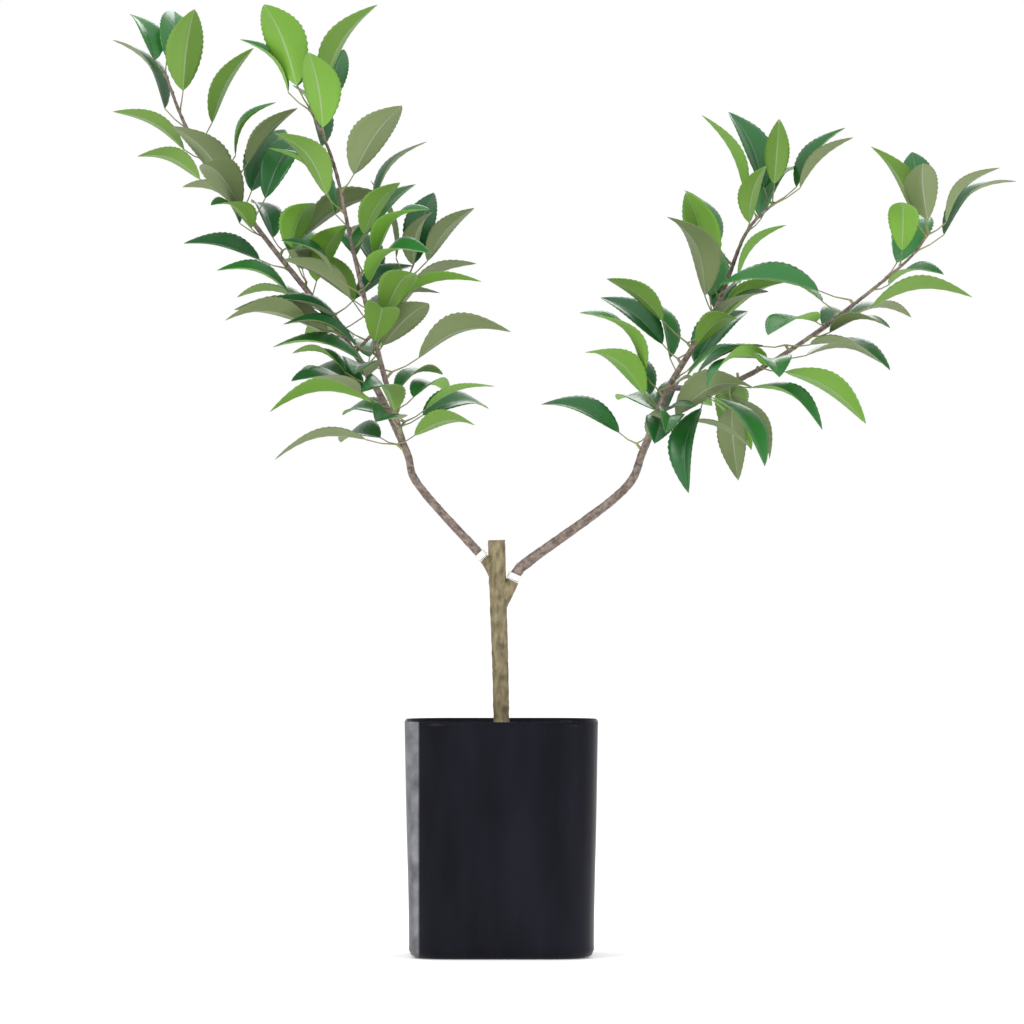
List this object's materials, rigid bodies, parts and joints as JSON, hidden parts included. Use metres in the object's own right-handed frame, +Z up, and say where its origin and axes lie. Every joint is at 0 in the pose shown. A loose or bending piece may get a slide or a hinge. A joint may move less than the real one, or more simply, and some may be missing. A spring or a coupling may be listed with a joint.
{
  "type": "potted grafted apple tree",
  "caption": "Young grafted apple tree with a sawn rootstock trunk and spreading leafy limbs, standing in a filled black nursery bag.",
  "frame": {"origin": "centre of the bag's flat underside", "axes": "+Z up, +X to the right in the front view, -Y to the front"},
  "size_m": [0.8857, 0.334, 0.9524],
  "materials": {
    "bag_film": "satin black film",
    "compost": "crumbly",
    "rootstock_bark": "bark",
    "scion_bark": "bark",
    "graft_tape": "matt tape",
    "foliage": "leaf"
  },
  "bodies": {
    "root": {"bag": "bag_film", "potting_mix": "compost", "trunk": "rootstock_bark", "left_graft_tape": "graft_tape", "right_graft_tape": "graft_tape", "left_bough": "scion_bark", "right_bough": "scion_bark", "left_fork_leaves": "foliage", "left_leader_middle_leaves": "foliage", "left_leader_upper_leaves": "foliage", "left_leader_tip_leaves": "foliage", "left_second_middle_leaves": "foliage", "left_second_tip_leaves": "foliage", "right_fork_leaves": "foliage", "right_leader_middle_leaves": "foliage", "right_leader_tip_leaves": "foliage", "right_spreader_lower_leaves": "foliage", "right_spreader_tip_leaves": "foliage"}
  },
  "joints": []
}
